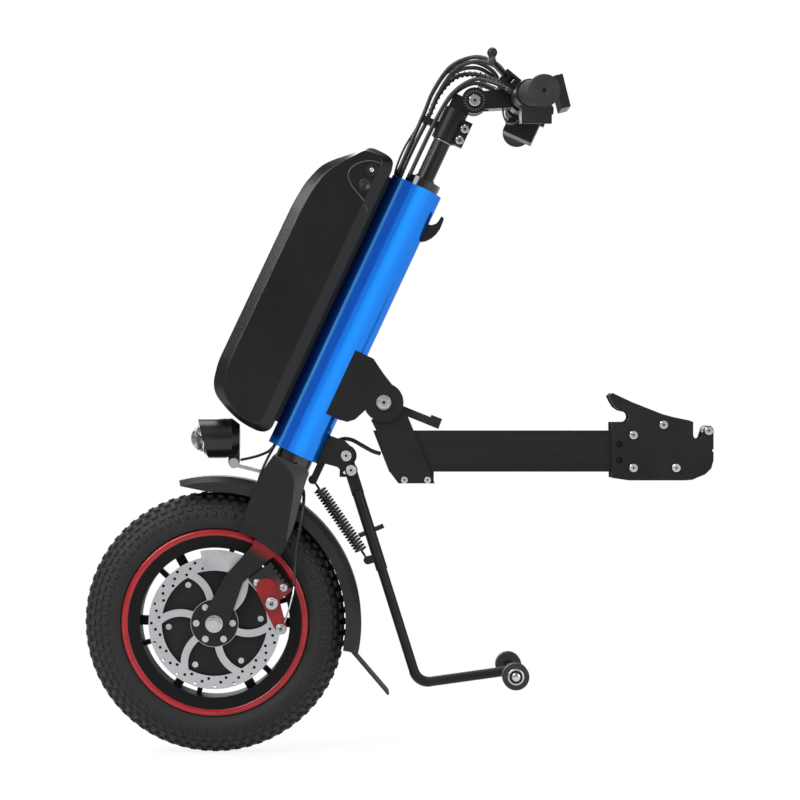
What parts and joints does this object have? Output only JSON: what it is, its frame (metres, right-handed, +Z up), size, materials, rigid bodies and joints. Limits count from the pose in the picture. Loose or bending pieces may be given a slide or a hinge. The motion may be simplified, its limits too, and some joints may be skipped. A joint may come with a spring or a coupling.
{
  "type": "wheelchair power assist",
  "caption": "Clip-on front drive for a manual wheelchair: hub-motor wheel in a fork, battery on a leaning head tube, handlebar, side stand and docking arm.",
  "frame": {"origin": "axis of the chair's cross bar in the docking hook, mid-width", "axes": "+X back to the chair, +Y to the rider's right, +Z up; the wheel is at -X"},
  "size_m": [0.7651, 0.5098, 0.842],
  "materials": {
    "black_paint": "satin powder coat",
    "black_anodised": "fine satin anodising",
    "blue_anodised": "bright satin anodising",
    "bright_steel": "zinc plated",
    "disc_steel": "ground",
    "silver_alloy": "cast",
    "red_paint": "gloss",
    "tyre_rubber": "moulded",
    "soft_rubber": "matt",
    "black_plastic": "fine grain",
    "cell_wrap": "shrink wrap",
    "circuit_board": "solder mask",
    "copper_winding": "enamelled",
    "clear_lens": "moulded prisms",
    "cable_sleeve": "smooth sleeve"
  },
  "bodies": {
    "dock": {"dock_plates": "black_paint", "dock_plug": "black_anodised", "dock_bolts": "bright_steel"},
    "arm": {"beam": "black_anodised", "arm_bracket": "black_paint", "arm_bolts": "bright_steel"},
    "lock_lever": {"lock_lever": "black_plastic"},
    "frame": {"head_tube": "blue_anodised", "headset_cups": "black_anodised", "headset_bearings": "bright_steel", "pivot_bracket": "black_paint", "kickstand_bracket": "black_paint", "frame_bolts": "bright_steel", "battery_rail": "black_plastic", "bag_hook": "black_paint", "controller": "circuit_board", "kickstand_spring": "disc_steel", "link_cable": "cable_sleeve"},
    "battery": {"battery_case_left": "black_plastic", "battery_case_right": "black_plastic", "battery_cap": "black_plastic", "battery_cells": "cell_wrap"},
    "key_lock": {"key_lock": "bright_steel"},
    "steering": {"steerer": "black_anodised", "fork_crown": "black_paint", "fork_legs": "black_paint", "mudguard": "black_plastic", "mud_flap": "soft_rubber", "axle": "bright_steel", "motor_stator": "copper_winding", "caliper_body": "black_paint", "caliper_bracket": "silver_alloy", "headlight_bracket": "bright_steel", "stem_clamp": "black_paint", "stem_bolts": "bright_steel", "lower_cables": "cable_sleeve", "fork_cables": "cable_sleeve"},
    "wheel": {"tyre": "tyre_rubber", "cast_wheel": "black_paint", "motor_covers": "black_paint", "brake_disc": "disc_steel", "wheel_bolts": "bright_steel"},
    "caliper_arm": {"caliper_arm": "red_paint"},
    "headlight": {"headlight_housing": "black_paint", "headlight_lens": "clear_lens"},
    "handlebar": {"stem_arm": "black_paint", "handlebar": "black_anodised", "grips": "soft_rubber", "brake_perches": "black_paint", "switch_box": "black_plastic", "throttle_housing": "black_plastic", "display": "black_plastic", "upper_cables": "cable_sleeve"},
    "brake_lever_left": {"brake_lever_left": "black_anodised"},
    "brake_lever_right": {"brake_lever_right": "black_anodised"},
    "thumb_throttle": {"thumb_throttle": "black_plastic"},
    "horn_button": {"horn_button": "black_plastic"},
    "kickstand": {"kickstand": "black_paint"},
    "roller_left": {"roller_left": "soft_rubber"},
    "roller_right": {"roller_right": "soft_rubber"}
  },
  "joints": [
    {"name": "reach_slide", "type": "slide", "parent": "dock", "child": "arm", "axis": [-1, 0, 0], "range_m": [0, 0.06]},
    {"name": "arm_fold", "type": "hinge", "parent": "arm", "child": "frame", "pos_m": [-0.292, 0, 0.0174], "axis": [0, 1, 0], "range_deg": [0, 45], "deforming": ["link_cable"]},
    {"name": "lock_lever_turn", "type": "hinge", "parent": "arm", "child": "lock_lever", "pos_m": [-0.292, 0, 0.0174], "axis": [0, -1, 0], "range_deg": [0, 60]},
    {"name": "battery_slide", "type": "slide", "parent": "frame", "child": "battery", "axis": [0.4226, 0, 0.9063], "range_m": [0, 0.04]},
    {"name": "key_turn", "type": "hinge", "parent": "battery", "child": "key_lock", "pos_m": [-0.30676, 0, 0.29803], "axis": [0, 1, 0], "range_deg": [0, 90]},
    {"name": "steering", "type": "hinge", "parent": "frame", "child": "steering", "pos_m": [-0.49448, 0, -0.25119], "axis": [0.4226, 0, 0.9063], "range_deg": [-40, 40], "deforming": ["lower_cables", "fork_cables"]},
    {"name": "wheel_spin", "type": "hinge", "parent": "steering", "child": "wheel", "pos_m": [-0.4972, 0, -0.24992], "axis": [0, 1, 0], "continuous": true},
    {"name": "caliper_arm_turn", "type": "hinge", "parent": "steering", "child": "caliper_arm", "pos_m": [-0.4272, -0.0505, -0.22422], "axis": [0, -1, 0], "range_deg": [0, 25]},
    {"name": "headlight_tilt", "type": "hinge", "parent": "steering", "child": "headlight", "pos_m": [-0.47473, 0, -0.05669], "axis": [0, -1, 0], "range_deg": [0, 10]},
    {"name": "stem_tilt", "type": "hinge", "parent": "steering", "child": "handlebar", "pos_m": [-0.18125, 0, 0.38504], "axis": [0, 1, 0], "range_deg": [-20, 40], "deforming": ["upper_cables"]},
    {"name": "brake_lever_left_pull", "type": "hinge", "parent": "handlebar", "child": "brake_lever_left", "pos_m": [-0.14509, -0.0767, 0.40568], "axis": [0.6319, -0.0394, 0.7741], "range_deg": [0, 12], "stiffness_Nm_per_rad": 2, "springref_deg": -11.46},
    {"name": "brake_lever_right_pull", "type": "hinge", "parent": "handlebar", "child": "brake_lever_right", "pos_m": [-0.14509, 0.0767, 0.40568], "axis": [-0.6319, -0.0394, -0.7741], "range_deg": [0, 12], "stiffness_Nm_per_rad": 2, "springref_deg": -11.46},
    {"name": "throttle_turn", "type": "hinge", "parent": "handlebar", "child": "thumb_throttle", "pos_m": [-0.11986, 0.11671, 0.38305], "axis": [0.0469, 0.9949, -0.0889], "range_deg": [0, 35], "stiffness_Nm_per_rad": 0.1, "springref_deg": -17.19},
    {"name": "horn_push", "type": "slide", "parent": "handlebar", "child": "horn_button", "axis": [-0.9989, -0.0471, 0], "range_m": [0, 0.0025], "stiffness_N_per_m": 800, "springref_m": -0.002},
    {"name": "kickstand_swing", "type": "hinge", "parent": "frame", "child": "kickstand", "pos_m": [-0.33783, 0, -0.04751], "axis": [0, -1, 0], "range_deg": [0, 20], "stiffness_Nm_per_rad": 2, "springref_deg": -11.46, "deforming": ["kickstand_spring"]},
    {"name": "roller_left_spin", "type": "hinge", "parent": "kickstand", "child": "roller_left", "pos_m": [-0.13512, 0, -0.31006], "axis": [0, 1, 0], "continuous": true},
    {"name": "roller_right_spin", "type": "hinge", "parent": "kickstand", "child": "roller_right", "pos_m": [-0.13512, 0, -0.31006], "axis": [0, 1, 0], "continuous": true}
  ],
  "couplings": [
    {"joint": "caliper_arm_turn", "follows": "brake_lever_left_pull", "ratio": 2.0833}
  ]
}
